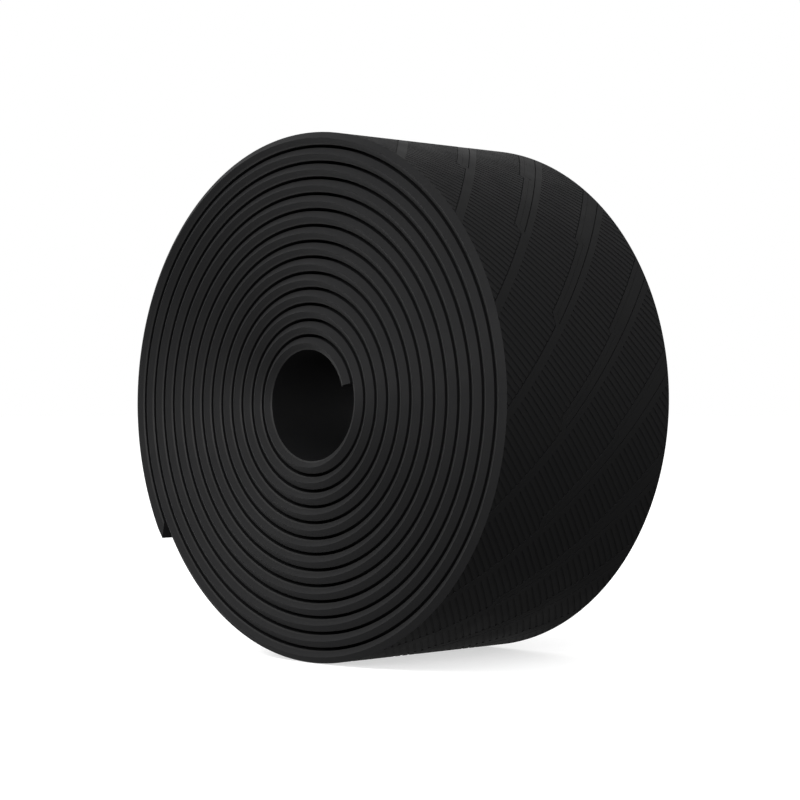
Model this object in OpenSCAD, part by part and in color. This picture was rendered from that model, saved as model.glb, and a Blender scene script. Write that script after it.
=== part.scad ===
// Grip tape roll: one laminated strip wound into a flat spiral, standing on its rim.
// Y is the winding axis. The spiral opens anticlockwise as seen from -Y, and its free end lies
// at the lower left. Z is up, and the origin is under the middle of the roll, where it stands.
// Each turn is drawn as flats, so that the roll stands on one of them and the free end can
// bend at the corners between them.

/* [Strip] */
// Width of the strip over its side edges, which is the roll's length along its winding axis
strip_width = 26.4; // [20:0.1:35]
// Thickness of the embossed top skin, on the outside of each turn
skin_thickness = 0.7; // [0.4:0.05:1.2]
// Thickness of the foam backing under the skin
backing_thickness = 0.54; // [0.3:0.02:1.2]
// Thickness of the adhesive coat on the backing
adhesive_thickness = 0.1; // [0.06:0.02:0.2]
// Thickness of the release film over the adhesive, on the inside of each turn
film_thickness = 0.06; // [0.04:0.01:0.12]

/* [Winding] */
// Distance from the winding axis to the strip's inner face at its inner end
hole_radius = 5.1; // [5:0.1:12]
// Open space between one turn and the next
turn_gap = 0.26; // [0.2:0.02:0.6]
// Number of whole turns that the strip makes before its last part turn
whole_turns = 13; // [8:1:20]
// Angle of the strip's inner end, anticlockwise from +X as seen from -Y
inner_end_angle = 17; // [9:1:21]

/* [Free end] */
// Angle of the free end's tip
free_end_angle = 213; // [210:1:216]
// Number of hinged segments at the free end
tail_segments = 6; // [2:1:8]
// Length of the bevels that thin the free end to its tip
bevel_length = 1.6; // [0.5:0.1:1.6]

/* [Hidden] */
// Flats on each turn; one flat faces straight down, and the corners lie half a flat from it
flats_per_turn = 24;
flat_angle = 360 / flats_per_turn;

// Depths of the faces between the layers, measured outwards from the strip's inner face
film_face = film_thickness;
adhesive_face = film_face + adhesive_thickness;
backing_face = adhesive_face + backing_thickness;
strip_thickness = backing_face + skin_thickness;
pitch = strip_thickness + turn_gap;

// Running angles along the strip, from its inner end to the tip of its free end
strip_start = inner_end_angle;
strip_end = 360 * whole_turns + free_end_angle;
last_corner = flat_angle * (floor(strip_end / flat_angle - 0.5) + 0.5);
first_corner = last_corner - flat_angle * (tail_segments - 1);
bevel_angle = bevel_length / radius_at(strip_end, 0) * 180 / PI;

// Turns of the wound part; the first of them also holds the part turn at the inner end
wound_turns = floor((first_corner - strip_start) / 360);

// The roll's reach to each side of the winding axis, and down to the flat that it stands on
left_reach = radius_at(360 * whole_turns + 180 + flat_angle / 2, strip_thickness);
right_reach = radius_at(360 * whole_turns + flat_angle / 2, strip_thickness);
foot_reach = radius_at(360 * whole_turns - 90 + flat_angle / 2, strip_thickness);
axis_x = (left_reach - right_reach) / 2;
axis_z = foot_reach;

// Radius at a running angle, for a face at a depth from the strip's inner face
function radius_at(angle, depth) =
    hole_radius + depth + pitch * (angle - strip_start) / 360;

// Angle from the middle of the flat that a running angle falls on
function off_middle(angle) = angle - flat_angle * round(angle / flat_angle);

// Point of that face, on the flats drawn round the spiral
function face_point(angle, depth) =
    radius_at(angle, depth) / cos(off_middle(angle)) * [cos(angle), sin(angle)];

// Where a face stops at the free end, which is bevelled on both sides down to the backing's face
function end_angle_at(depth) =
    let (bevel_depth = depth > backing_face ? skin_thickness : backing_face)
    strip_end - bevel_angle * abs(depth - backing_face) / bevel_depth;

// One face from one running angle to another, with a point at each corner between them
function face_line(start, stop, depth) = [
    face_point(start, depth),
    for (k = [floor(start / flat_angle - 0.5) + 1 : ceil(stop / flat_angle - 0.5) - 1])
        face_point(flat_angle * (k + 0.5), depth),
    face_point(stop, depth)
];

function reversed(points) = [for (i = [len(points) - 1 : -1 : 0]) points[i]];

// A stretch of one layer between two of its faces, as wide as the strip
module layer_stretch(start, inner_stop, outer_stop, inner, outer) {
    outline = concat(
        face_line(start, outer_stop, outer),
        reversed(face_line(start, inner_stop, inner))
    );
    translate([axis_x, strip_width / 2, axis_z])
        rotate([90, 0, 0])
            linear_extrude(height = strip_width)
                polygon(outline);
}

// One layer of the whole wound part, up to the first corner that bends
module wound_layer(inner, outer) {
    layer_stretch(strip_start, first_corner, first_corner, inner, outer);
}

// One layer of one segment of the free end, counted from the roll to the tip
module tail_layer(i, inner, outer) {
    start = first_corner + flat_angle * (i - 1);
    stop = start + flat_angle;
    if (i < tail_segments)
        layer_stretch(start, stop, stop, inner, outer);
    else
        layer_stretch(start, end_angle_at(inner), end_angle_at(outer), inner, outer);
}

// Embossed top skin of one turn of the wound part, counted from the inner end
module coil_skin(turn) {
    stop = first_corner - 360 * (wound_turns - turn);
    start = turn == 1 ? strip_start : stop - 360;
    color([0.16, 0.16, 0.17])
        layer_stretch(start, stop, stop, backing_face, strip_thickness);
}

// Foam backing of the wound part
module coil_backing() {
    color([0.24, 0.24, 0.25]) wound_layer(adhesive_face, backing_face);
}

// Adhesive coat of the wound part
module coil_adhesive() {
    color([0.45, 0.42, 0.36]) wound_layer(film_face, adhesive_face);
}

// Release film of the wound part
module coil_film() {
    color([0.32, 0.32, 0.34]) wound_layer(0, film_face);
}

// Embossed top skin of one segment of the free end
module tail_skin(i) {
    color([0.16, 0.16, 0.17]) tail_layer(i, backing_face, strip_thickness);
}

// Foam backing of one segment of the free end
module tail_backing(i) {
    color([0.24, 0.24, 0.25]) tail_layer(i, adhesive_face, backing_face);
}

// Adhesive coat of one segment of the free end
module tail_adhesive(i) {
    color([0.45, 0.42, 0.36]) tail_layer(i, film_face, adhesive_face);
}

// Release film of one segment of the free end
module tail_film(i) {
    color([0.32, 0.32, 0.34]) tail_layer(i, 0, film_face);
}

for (turn = [1:wound_turns])
    coil_skin(turn);
coil_backing();
coil_adhesive();
coil_film();
for (i = [1:tail_segments]) {
    tail_skin(i);
    tail_backing(i);
    tail_adhesive(i);
    tail_film(i);
}
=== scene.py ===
"""Looks of the grip tape roll: one embossed strip wound into a spiral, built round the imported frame.

Every layer of the strip is first made flat, in strip coordinates in millimetres: s along the
outer face from the tip of the free end, w across from the back edge, d out from the inner face.
It is then wound onto the spiral that the CAD flats stand round.
"""

import math

import bmesh
import bpy
import numpy as np
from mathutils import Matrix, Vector

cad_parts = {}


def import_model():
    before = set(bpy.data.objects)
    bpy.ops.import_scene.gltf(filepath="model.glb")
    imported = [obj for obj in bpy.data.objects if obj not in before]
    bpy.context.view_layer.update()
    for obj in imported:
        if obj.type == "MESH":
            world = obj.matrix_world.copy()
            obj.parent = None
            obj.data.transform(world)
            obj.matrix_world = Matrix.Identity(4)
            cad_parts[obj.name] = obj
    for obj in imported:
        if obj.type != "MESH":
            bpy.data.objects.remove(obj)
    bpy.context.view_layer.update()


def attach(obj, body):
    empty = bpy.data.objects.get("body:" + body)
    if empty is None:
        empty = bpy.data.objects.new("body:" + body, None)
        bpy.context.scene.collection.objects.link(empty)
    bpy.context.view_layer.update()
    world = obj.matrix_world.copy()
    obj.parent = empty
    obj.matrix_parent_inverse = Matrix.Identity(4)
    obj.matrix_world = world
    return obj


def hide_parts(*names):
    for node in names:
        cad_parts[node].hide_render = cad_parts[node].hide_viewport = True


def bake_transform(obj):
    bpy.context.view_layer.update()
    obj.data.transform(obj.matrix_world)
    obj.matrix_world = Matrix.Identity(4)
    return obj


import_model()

MM = 0.001

# The strip and its winding, in millimetres and degrees, on the same axis as the CAD solids. The
# strip is 0.04 mm thinner on each face than its solid, which widens the gaps between turns.
WIDTH = 25.0
THICK = 1.32
SKIN_FACE = 0.66
ADHESIVE_FACE = 0.15
FILM_FACE = 0.06
HOLE = 5.14
PITCH = 1.66
START = 17.0
TIP = 4893.0
AXIS_X = 0.415
AXIS_Z = 27.621
TIP_RADIUS = HOLE + THICK + PITCH * (TIP - START) / 360
FIRST_BEND = 4807.5
FLAT = 15.0
TAILS = 6
# Length of the bevels at the free end's tip, and how far the flat strip is drawn past it
BEVEL = 1.68
OVERRUN = 1.0

# Side edges of the strip, bevelled from both faces to a ridge at mid thickness: how far the
# faces' corners and the ridge stand outside the nominal width
CORNER_OUT = 0.20
RIDGE_OUT = 0.70
# Strip of the embossed face beside each corner, over which the grooves run out
CORNER_RIM = 0.08

# Embossed bands, which slope at 45 degrees and repeat along the strip: their spacing along it,
# and where the main groove of the first one meets the back edge. Places and half widths across
# a band are in s - w, which is the distance across it times root 2.
BAND = 10.555
BAND_START = 7.81
# Lines of the stepped grooves beside the main groove, and where across the strip they jog, in w
OUTER_LINES = (-2.55, -1.85, -0.40)
OUTER_JOGS = (8.53, 16.85)
INNER_LINES = (-1.71, -1.00)
INNER_JOGS = (7.75, 16.17)
# Where the ribs begin beside the main groove
RIB_START = (1.08, 1.14)
# Half widths of a groove at its top and floor, and the depths of the main and inner ones
GROOVE_HALF = 0.072
GROOVE_FLOOR = 0.045
GROOVE_DEPTH = 0.13
INNER_DEPTH = 0.035
# How far the main groove runs past the last inner jog
MAIN_PAST_JOG = 0.05
# How far the plain strip between the inner and main grooves lies below the face
PANEL_DROP = 0.012
# Grooves of the ribs, in the sum of s and w, which is the distance along a band times root 2
RIB_PITCH = 1.058
RIB_HALF = 0.185
RIB_FLOOR = 0.155
RIB_DEPTH = 0.07
ROOT2 = math.sqrt(2)

# Angle above which an edge is sharp, and angles between the sections of a wound layer, in degrees
SHARP = 32.0
ROLL_STEP = 2.5
TAIL_STEP = 1.25
# A point this near to a cut, in millimetres, lies on it
ON_CUT = 1e-3
# A grid line across a band that is nearer than this to the last one, in s - w, is left out
MARK_GAP = 0.01
# Equal parts of the grid between the ribs' start and the next band
GRID_PARTS = 5
# How far the grid reaches past the strip's ends and sides before it is trimmed
GRID_PAST_ENDS = 3.0
GRID_PAST_SIDES = 4.0


# ---- the spiral ----

def arc_to_angle(s):
    """Running angle, in degrees, at a distance s along the outer face from the tip."""
    a = math.pi / 180 * PITCH / 720
    b = math.pi / 180 * TIP_RADIUS
    back = (b - np.sqrt(b * b - 4 * a * s)) / (2 * a)
    return TIP - back


def angle_to_arc(angle):
    """Distance along the outer face from the tip, at a running angle in degrees."""
    back = TIP - angle
    return math.pi / 180 * (TIP_RADIUS * back - PITCH * back * back / 720)


def wind(flat):
    """Points of the spiral, in metres, for rows of (s, w, d) in millimetres."""
    flat = np.asarray(flat, float)
    angle = arc_to_angle(flat[:, 0])
    r = HOLE + flat[:, 2] + PITCH * (angle - START) / 360
    a = np.radians(angle)
    return np.stack(
        [AXIS_X + r * np.cos(a), WIDTH / 2 - flat[:, 1], AXIS_Z + r * np.sin(a)], -1
    ) * MM


# ---- the strip's cross-section ----

def edge_out(depth):
    """How far the bevelled side edge stands outside the measured width at a depth."""
    to_ridge = 1 - abs(2 * depth / THICK - 1)
    return CORNER_OUT + (RIDGE_OUT - CORNER_OUT) * to_ridge


# ---- mesh helpers ----

def mesh_object(name, verts, faces):
    """A closed mesh from flat strip coordinates, wound onto the spiral."""
    mesh = bpy.data.meshes.new(name)
    mesh.from_pydata(wind(verts).tolist(), [], faces)
    bm = bmesh.new()
    bm.from_mesh(mesh)
    bmesh.ops.recalc_face_normals(bm, faces=bm.faces)
    bm.to_mesh(mesh)
    bm.free()
    mesh.shade_smooth()
    mesh.set_sharp_from_angle(angle=math.radians(SHARP))
    obj = bpy.data.objects.new(name, mesh)
    bpy.context.scene.collection.objects.link(obj)
    return obj


def cut_flat(verts, faces, point, normal):
    """Cuts a closed flat solid with a plane, drops the side that normal points to, and caps it."""
    bm = bmesh.new()
    made = [bm.verts.new(v) for v in verts]
    for f in faces:
        bm.faces.new([made[i] for i in f])
    bmesh.ops.bisect_plane(
        bm, geom=[*bm.verts, *bm.edges, *bm.faces], dist=1e-5,
        plane_co=point, plane_no=normal, clear_outer=True,
    )
    rim = [e for e in bm.edges if e.is_boundary]
    bmesh.ops.holes_fill(bm, edges=rim, sides=0)
    bm.verts.index_update()
    out = [tuple(v.co) for v in bm.verts], [[v.index for v in f.verts] for f in bm.faces]
    bm.free()
    return out


def bevel_cut(verts, faces, outside):
    """Thins the free end to its tip: the outside bevel cuts the skin, the inside one the rest."""
    rise = THICK / 2 if outside else -THICK / 2
    normal = Vector((-rise, 0, BEVEL)) if outside else Vector((rise, 0, -BEVEL))
    return cut_flat(verts, faces, (0, 0, SKIN_FACE), normal)


# ---- plain layers ----

def plain_layer(inner, outer, arcs):
    """A closed flat stretch of one layer, with a section at each arc."""
    loop = [
        (WIDTH + edge_out(inner), inner), (WIDTH + edge_out(outer), outer),
        (-edge_out(outer), outer), (-edge_out(inner), inner),
    ]
    n = len(loop)
    verts = [(s, w, d) for s in arcs for w, d in loop]
    faces = []
    for i in range(len(arcs) - 1):
        for j in range(n):
            k = (j + 1) % n
            faces.append((i * n + j, i * n + k, (i + 1) * n + k, (i + 1) * n + j))
    faces.append(tuple(range(n)))
    faces.append(tuple(range((len(arcs) - 1) * n, len(arcs) * n)))
    return verts, faces


def arcs_between(first, last, step):
    """Arcs along the outer face between two running angles, about a step of angle apart."""
    count = max(2, math.ceil((last - first) / step))
    return [angle_to_arc(first + (last - first) * i / count) for i in range(count + 1)]


# ---- embossed skin ----

def nearest_band(s, w):
    """Distance across the bands from the nearest main groove, from just left of its tab."""
    first = OUTER_LINES[0] - 2 * GROOVE_HALF
    return (s - w - BAND_START - first) % BAND + first


def groove(distance, half, floor, depth):
    """A groove with steep walls and a flat floor, from its half widths at the top and bottom."""
    return -depth * np.clip((half - distance) / (half - floor), 0, 1)


def stepped_groove(q, w, lines, jogs, end, depth):
    """A groove that follows lines across the strip and steps sideways at each jog."""
    height = np.zeros_like(q)
    edges = [-RIDGE_OUT, *jogs[: len(lines) - 1], end]
    half, floor = GROOVE_HALF / ROOT2, GROOVE_FLOOR / ROOT2
    for line, low, high in zip(lines, edges, edges[1:]):
        near = (w > low - half) & (w < high + half)
        cut = groove(abs(q - line), GROOVE_HALF, GROOVE_FLOOR, depth)
        height = np.minimum(height, np.where(near, cut, 0))
    ends = [*lines, 0.0]
    for jog, left, right in zip(jogs, ends, ends[1:]):
        near = (q > left - GROOVE_HALF) & (q < right + GROOVE_HALF)
        height = np.minimum(height, np.where(near, groove(abs(w - jog), half, floor, depth), 0))
    return height


def emboss(s, w):
    """Height of the embossed face over the strip's outer face, zero or below."""
    q = nearest_band(s, w)
    left = np.select([w < OUTER_JOGS[0], w < OUTER_JOGS[1]], OUTER_LINES[:2], OUTER_LINES[2])
    inner = np.where(w < INNER_JOGS[0], INNER_LINES[0], INNER_LINES[1])
    ribbed = np.where(
        q > 0, np.clip((q - RIB_START[0]) / (RIB_START[1] - RIB_START[0]), 0, 1), q < left
    )
    along = (s + w + RIB_PITCH / 2) % RIB_PITCH - RIB_PITCH / 2
    ribs = ribbed * groove(abs(along), RIB_HALF, RIB_FLOOR, RIB_DEPTH)
    panel = (q < 0) & (q > inner) & (w < INNER_JOGS[1])
    main = groove(abs(q), GROOVE_HALF, GROOVE_FLOOR, GROOVE_DEPTH) * (w < INNER_JOGS[1] + MAIN_PAST_JOG)
    outer = stepped_groove(q, w, OUTER_LINES, OUTER_JOGS, WIDTH + RIDGE_OUT, GROOVE_DEPTH)
    thin = stepped_groove(q, w, INNER_LINES, INNER_JOGS, INNER_JOGS[1], INNER_DEPTH)
    base = np.minimum(ribs, -PANEL_DROP * panel)
    return np.minimum.reduce([base, main, outer, thin])


GROOVE_SIDES = (-GROOVE_HALF, -GROOVE_FLOOR, GROOVE_FLOOR, GROOVE_HALF)
RIB_SIDES = (-RIB_HALF, -RIB_FLOOR, RIB_FLOOR, RIB_HALF)


def band_lines():
    """Where grid lines run along one band, measured from its main groove."""
    marks = set(RIB_START)
    for line in (*OUTER_LINES, *INNER_LINES, 0.0):
        marks.update(line + side for side in GROOVE_SIDES)
    first = min(marks) + BAND
    gap = first - RIB_START[1]
    marks.update(RIB_START[1] + gap * i / GRID_PARTS for i in range(1, GRID_PARTS))
    kept = []
    for m in sorted(marks):
        if not kept or m - kept[-1] > MARK_GAP:
            kept.append(m)
    return kept


def grid_points(s_low, s_high):
    """Points in s and w of a grid that follows the bands one way and their ribs the other."""
    bands = range(
        math.floor((s_low - WIDTH - BAND_START) / BAND) - 1,
        math.ceil((s_high - BAND_START) / BAND) + 2,
    )
    across = [BAND_START + BAND * k + m for k in bands for m in band_lines()]
    ribs = range(math.floor(s_low / RIB_PITCH) - 1, math.ceil((s_high + WIDTH) / RIB_PITCH) + 2)
    along = [RIB_PITCH * k + side for k in ribs for side in RIB_SIDES]
    qs, vs = np.meshgrid(across, along, indexing="ij")
    return (qs + vs) / 2, (vs - qs) / 2


def grid_faces(bm, s, w, kept):
    """Adds the grid's cells that have two opposite corners inside the part to keep."""
    made = {}

    def vert(i, j):
        if (i, j) not in made:
            made[i, j] = bm.verts.new((s[i, j], w[i, j], 0))
        return made[i, j]

    for i in range(s.shape[0] - 1):
        for j in range(s.shape[1] - 1):
            if kept[i, j] and kept[i + 1, j + 1]:
                bm.faces.new([vert(i, j), vert(i + 1, j), vert(i + 1, j + 1), vert(i, j + 1)])


def embossed_top(s_low, s_high, cuts):
    """The embossed face as a flat grid along the bands, trimmed to the strip and cut at each piece."""
    s, w = grid_points(s_low, s_high)
    kept = (s > s_low - GRID_PAST_ENDS) & (s < s_high + GRID_PAST_ENDS)
    kept &= (w > -GRID_PAST_SIDES) & (w < WIDTH + GRID_PAST_SIDES)
    bm = bmesh.new()
    grid_faces(bm, s, w, kept)

    def cut(point, normal, clear):
        bmesh.ops.bisect_plane(
            bm, geom=[*bm.verts, *bm.edges, *bm.faces], dist=1e-4,
            plane_co=point, plane_no=normal, clear_outer=clear,
        )

    cut((0, -CORNER_OUT, 0), (0, -1, 0), True)
    cut((0, WIDTH + CORNER_OUT, 0), (0, 1, 0), True)
    cut((s_low, 0, 0), (-1, 0, 0), True)
    cut((s_high, 0, 0), (1, 0, 0), True)
    w_cuts = [jog + side / ROOT2 for jog in (*OUTER_JOGS, *INNER_JOGS) for side in GROOVE_SIDES]
    w_cuts += [CORNER_RIM - CORNER_OUT, WIDTH + CORNER_OUT - CORNER_RIM]
    for w_cut in w_cuts:
        cut((0, w_cut, 0), (0, 1, 0), False)
    for s_cut in cuts:
        cut((s_cut, 0, 0), (1, 0, 0), False)
    bm.verts.index_update()
    points = np.array([v.co[:2] for v in bm.verts])
    faces = [[v.index for v in f.verts] for f in bm.faces]
    bm.free()
    return points, faces


def row_on(top, axis, at):
    """Points of the embossed face that lie on a cut across one axis, in order along the other."""
    row = np.nonzero(abs(top[:, axis] - at) < ON_CUT)[0]
    return row[np.argsort(top[row, 1 - axis])].tolist()


def side_facet(top, verts, faces, front):
    """The bevel from one side of the embossed face down to its ridge, whose points it returns."""
    corner = row_on(top, 1, WIDTH + CORNER_OUT if front else -CORNER_OUT)
    at = WIDTH + RIDGE_OUT if front else -RIDGE_OUT
    ridge = list(range(len(verts), len(verts) + len(corner)))
    verts += [(top[i, 0], at, SKIN_FACE) for i in corner]
    for i in range(len(corner) - 1):
        faces.append([corner[i], corner[i + 1], ridge[i + 1], ridge[i]])
    return ridge


def plain_inside(verts, faces, a, b):
    """Thin triangles over the skin's plain inside, between its two ridges."""
    i = j = 0
    while i < len(a) - 1 or j < len(b) - 1:
        step_a = i < len(a) - 1 and (
            j == len(b) - 1 or verts[a[i + 1]][0] <= verts[b[j + 1]][0]
        )
        if step_a:
            faces.append([a[i], a[i + 1], b[j]])
            i += 1
        else:
            faces.append([a[i], b[j + 1], b[j]])
            j += 1


def embossed_piece(points, faces, centres, s_low, s_high):
    """A closed flat stretch of the skin: the embossed face, bevelled edges and a plain inside."""
    chosen = [f for f, c in zip(faces, centres) if s_low < c < s_high]
    used = sorted({i for f in chosen for i in f})
    new = {old: i for i, old in enumerate(used)}
    top = points[used]
    height = emboss(top[:, 0], top[:, 1])
    height[(top[:, 1] < ON_CUT - CORNER_OUT) | (top[:, 1] > WIDTH + CORNER_OUT - ON_CUT)] = 0
    verts = [(s, w, THICK + h) for (s, w), h in zip(top, height)]
    faces = [[new[i] for i in f] for f in chosen]
    back_ridge = side_facet(top, verts, faces, front=False)
    front_ridge = side_facet(top, verts, faces, front=True)
    plain_inside(verts, faces, back_ridge, front_ridge)
    for end, at in ((0, s_low), (-1, s_high)):
        faces.append([*row_on(top, 0, at), front_ridge[end], back_ridge[end]])
    return verts, faces


# ---- materials ----

# The broad mottling's size as a multiple of the grain's, and the range that noise mostly spans
MOTTLE_SCALE = 24
NOISE_LOW = 0.3
NOISE_HIGH = 0.7


def grained(name, base, spread, rough, rough_spread, grain_mm, bump_mm, specular):
    """A matte material whose grain, mottling and roughness vary over its surface."""
    mat = bpy.data.materials.new(name)
    mat.use_nodes = True
    nodes, links = mat.node_tree.nodes, mat.node_tree.links
    shader = nodes["Principled BSDF"]
    where = nodes.new("ShaderNodeTexCoord")

    def noise(size_mm, detail):
        tex = nodes.new("ShaderNodeTexNoise")
        tex.inputs["Scale"].default_value = 1 / (size_mm * MM)
        tex.inputs["Detail"].default_value = detail
        links.new(where.outputs["Object"], tex.inputs["Vector"])
        return tex

    fine, broad = noise(grain_mm, 3.0), noise(grain_mm * MOTTLE_SCALE, 2.0)
    mixed = nodes.new("ShaderNodeMath")
    mixed.operation = "MULTIPLY_ADD"
    mixed.inputs[1].default_value = 0.5
    links.new(fine.outputs["Fac"], mixed.inputs[0])
    half = nodes.new("ShaderNodeMath")
    half.operation = "MULTIPLY"
    half.inputs[1].default_value = 0.5
    links.new(broad.outputs["Fac"], half.inputs[0])
    links.new(half.outputs[0], mixed.inputs[2])
    ramp = nodes.new("ShaderNodeValToRGB")
    ramp.color_ramp.elements[0].position = NOISE_LOW
    ramp.color_ramp.elements[1].position = NOISE_HIGH
    for element, scale in zip(ramp.color_ramp.elements, (1 - spread, 1 + spread)):
        element.color = (*[c * scale for c in base], 1)
    links.new(mixed.outputs[0], ramp.inputs["Fac"])
    links.new(ramp.outputs["Color"], shader.inputs["Base Color"])
    levels = nodes.new("ShaderNodeMapRange")
    levels.inputs["From Min"].default_value = NOISE_LOW
    levels.inputs["From Max"].default_value = NOISE_HIGH
    levels.inputs["To Min"].default_value = rough - rough_spread
    levels.inputs["To Max"].default_value = rough + rough_spread
    links.new(broad.outputs["Fac"], levels.inputs["Value"])
    links.new(levels.outputs["Result"], shader.inputs["Roughness"])
    bump = nodes.new("ShaderNodeBump")
    bump.inputs["Strength"].default_value = 1.0
    bump.inputs["Distance"].default_value = bump_mm * MM
    links.new(fine.outputs["Fac"], bump.inputs["Height"])
    links.new(bump.outputs["Normal"], shader.inputs["Normal"])
    shader.inputs["Specular IOR Level"].default_value = specular
    return mat


SKIN = grained(
    "skin_black", base=(0.0050, 0.0050, 0.0052), spread=0.08, rough=0.60, rough_spread=0.05,
    grain_mm=0.16, bump_mm=0.002, specular=0.045,
)
BACKING = grained(
    "backing_black", base=(0.0050, 0.0050, 0.0052), spread=0.16, rough=0.60, rough_spread=0.05,
    grain_mm=0.14, bump_mm=0.003, specular=0.045,
)
ADHESIVE = grained(
    "adhesive_dark", base=(0.0050, 0.0049, 0.0048), spread=0.12, rough=0.50, rough_spread=0.05,
    grain_mm=0.5, bump_mm=0.004, specular=0.07,
)
FILM = grained(
    "film_dark", base=(0.0044, 0.0044, 0.0046), spread=0.10, rough=0.50, rough_spread=0.06,
    grain_mm=0.8, bump_mm=0.003, specular=0.07,
)


# ---- the strip ----

def add_piece(name, flat, material, nodes):
    """A wound piece with its material, in place of CAD nodes."""
    obj = mesh_object(name, *flat)
    obj.data.materials.append(material)
    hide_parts(*nodes)
    return obj


def middle_before(k):
    """Running angle of the middle of the flat before joint k."""
    return FIRST_BEND + FLAT * (k - 1.5)


def bend(obj):
    """Bakes the placement of the piece over joint k into its mesh."""
    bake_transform(obj)


def tail_span(k):
    """Running angles between which the piece over joint k lies."""
    return middle_before(k), (middle_before(k + 1) if k < TAILS else TIP)


# The skin is embossed from one turn before the first bend, and plain further in
skin_split = FIRST_BEND - 360
roll_end = FIRST_BEND - FLAT / 2
bounds_s = [angle_to_arc(tail_span(k)[0]) for k in range(1, TAILS + 1)]

points, faces = embossed_top(-OVERRUN, angle_to_arc(skin_split), bounds_s)
centres = [points[f, 0].mean() for f in faces]

outer = embossed_piece(points, faces, centres, bounds_s[0], angle_to_arc(skin_split))
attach(add_piece("roll_skin_outer", outer, SKIN, ["coil_skin_13"]), "roll")
inner = plain_layer(SKIN_FACE, THICK, arcs_between(START, skin_split, ROLL_STEP)[::-1])
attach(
    add_piece("roll_skin_inner", inner, SKIN, [f"coil_skin_{k}" for k in range(1, 13)]),
    "roll",
)

LAYERS = {
    "backing": (ADHESIVE_FACE, SKIN_FACE, BACKING),
    "adhesive": (FILM_FACE, ADHESIVE_FACE, ADHESIVE),
    "film": (0.0, FILM_FACE, FILM),
}
for layer, (low, high, material) in LAYERS.items():
    flat = plain_layer(low, high, arcs_between(START, roll_end, ROLL_STEP)[::-1])
    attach(add_piece(f"roll_{layer}", flat, material, [f"coil_{layer}"]), "roll")

for k in range(1, TAILS + 1):
    first, last = tail_span(k)
    s_low = -OVERRUN if k == TAILS else angle_to_arc(last)
    flat = embossed_piece(points, faces, centres, s_low, angle_to_arc(first))
    if k == TAILS:
        flat = bevel_cut(*flat, outside=True)
    bend(add_piece(f"end_skin_{k}", flat, SKIN, [f"tail_skin_{k}"]))
    for layer, (low, high, material) in LAYERS.items():
        arcs = arcs_between(first, last, TAIL_STEP)
        if k == TAILS:
            arcs.append(-OVERRUN)
        flat = plain_layer(low, high, arcs[::-1])
        if k == TAILS:
            flat = bevel_cut(*flat, outside=False)
        bend(add_piece(f"end_{layer}_{k}", flat, material, [f"tail_{layer}_{k}"]))


# ---- stage, lights and camera ----

FLOOR_REACH = 3.0
FLOOR_GREY = 0.50
FLOOR_GLOW = 0.60
# The world's brightness below the floor, where it stands for the floor's bounce
LIGHT_FROM_BELOW = 0.30
# Slope below the horizon down to which the world is white, to hide the floor's far edge
FLOOR_EDGE = 0.03


def floor():
    """A pale floor that the camera sees; its bounce is part of the world's light instead."""
    mesh = bpy.data.meshes.new("floor")
    sides = ((-1, -1), (1, -1), (1, 1), (-1, 1))
    mesh.from_pydata([(FLOOR_REACH * x, FLOOR_REACH * y, 0) for x, y in sides], [], [(0, 1, 2, 3)])
    obj = bpy.data.objects.new("floor", mesh)
    bpy.context.scene.collection.objects.link(obj)
    mat = bpy.data.materials.new("pale_floor")
    mat.use_nodes = True
    shader = mat.node_tree.nodes["Principled BSDF"]
    shader.inputs["Base Color"].default_value = (FLOOR_GREY, FLOOR_GREY, FLOOR_GREY, 1)
    shader.inputs["Roughness"].default_value = 0.9
    shader.inputs["Specular IOR Level"].default_value = 0.0
    shader.inputs["Emission Color"].default_value = (1, 1, 1, 1)
    shader.inputs["Emission Strength"].default_value = FLOOR_GLOW
    mesh.materials.append(mat)
    obj.visible_diffuse = obj.visible_glossy = obj.visible_shadow = False


# Soft lights round the roll: name, azimuth anticlockwise from -Y, elevation and power in watts
LIGHTS = (
    ("front", 25, 8, 10.6),
    ("front_high", -20, 40, 6.0),
    ("left", -75, -10, 4.6),
    ("left_high", -75, 40, 1.9),
    ("left_bounce", -37, -40, 3.3),
    ("right_high", 35, 40, 2.2),
)
# Their side and their distance from the winding axis, in metres
LIGHT_SIZE = 0.35
LIGHT_DISTANCE = 0.9


def area_light(name, azimuth, elevation, power):
    """A square soft light that faces the middle of the roll."""
    a, e = math.radians(azimuth), math.radians(elevation)
    way = Vector((math.sin(a) * math.cos(e), -math.cos(a) * math.cos(e), math.sin(e)))
    light = bpy.data.lights.new(name, "AREA")
    light.shape, light.size, light.energy = "SQUARE", LIGHT_SIZE, power
    obj = bpy.data.objects.new(name, light)
    obj.location = Vector((AXIS_X, 0, AXIS_Z)) * MM + way * LIGHT_DISTANCE
    obj.rotation_euler = way.to_track_quat("Z", "Y").to_euler()
    bpy.context.scene.collection.objects.link(obj)


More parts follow.
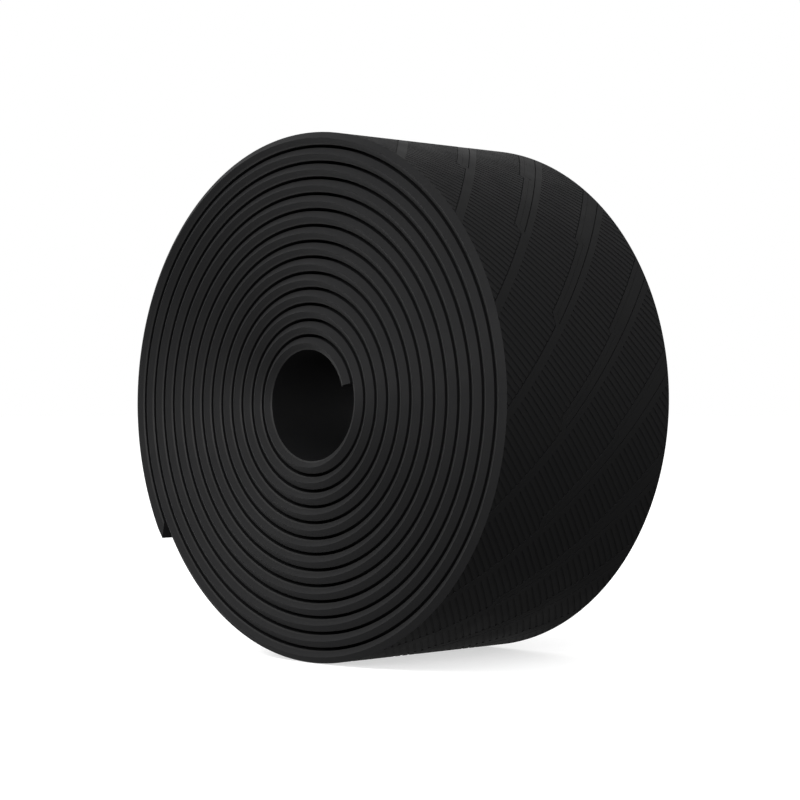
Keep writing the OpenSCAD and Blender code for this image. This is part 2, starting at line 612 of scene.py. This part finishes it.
# The camera's distance from the middle of the roll in metres, its azimuth anticlockwise from -Y
# in degrees, its focal length and sensor width in millimetres, and its shift
CAMERA_DISTANCE = 0.248
CAMERA_AZIMUTH = 44.73
CAMERA_LENS = 101.9
CAMERA_SENSOR = 36
CAMERA_SHIFT = (0.0072, 0.0018)


def camera():
    """The photograph's view: level with the winding axis, 45 degrees to its right."""
    distance, azimuth = CAMERA_DISTANCE, math.radians(CAMERA_AZIMUTH)
    cam = bpy.data.cameras.new("camera")
    cam.lens, cam.sensor_width = CAMERA_LENS, CAMERA_SENSOR
    cam.shift_x, cam.shift_y = CAMERA_SHIFT
    cam.clip_start = 0.01
    obj = bpy.data.objects.new("camera", cam)
    back = Vector((math.sin(azimuth), -math.cos(azimuth), 0))
    obj.location = Vector((AXIS_X, 0, AXIS_Z)) * MM + back * distance
    obj.rotation_euler = back.to_track_quat("Z", "Y").to_euler()
    bpy.context.scene.collection.objects.link(obj)
    bpy.context.scene.camera = obj


def world():
    """A white studio above the floor, and dimmer light from below it."""
    sky = bpy.data.worlds.new("studio")
    sky.use_nodes = True
    nodes, links = sky.node_tree.nodes, sky.node_tree.links
    where = nodes.new("ShaderNodeTexCoord")
    split = nodes.new("ShaderNodeSeparateXYZ")
    ramp = nodes.new("ShaderNodeValToRGB")
    raised = nodes.new("ShaderNodeMath")
    raised.operation = "ADD"
    raised.inputs[1].default_value = FLOOR_EDGE
    links.new(where.outputs["Generated"], split.inputs[0])
    links.new(split.outputs["Z"], raised.inputs[0])
    links.new(raised.outputs[0], ramp.inputs["Fac"])
    links.new(ramp.outputs["Color"], nodes["Background"].inputs["Color"])
    ramp.color_ramp.interpolation = "CONSTANT"
    ramp.color_ramp.elements[0].color = (*[LIGHT_FROM_BELOW] * 3, 1)
    ramp.color_ramp.elements[1].color = (1, 1, 1, 1)
    ramp.color_ramp.elements[1].position = 0.0001
    bpy.context.scene.world = sky


floor()
world()
camera()
for name, azimuth, elevation, power in LIGHTS:
    area_light(name, azimuth, elevation, power)
bpy.context.scene.view_settings.view_transform = "Standard"
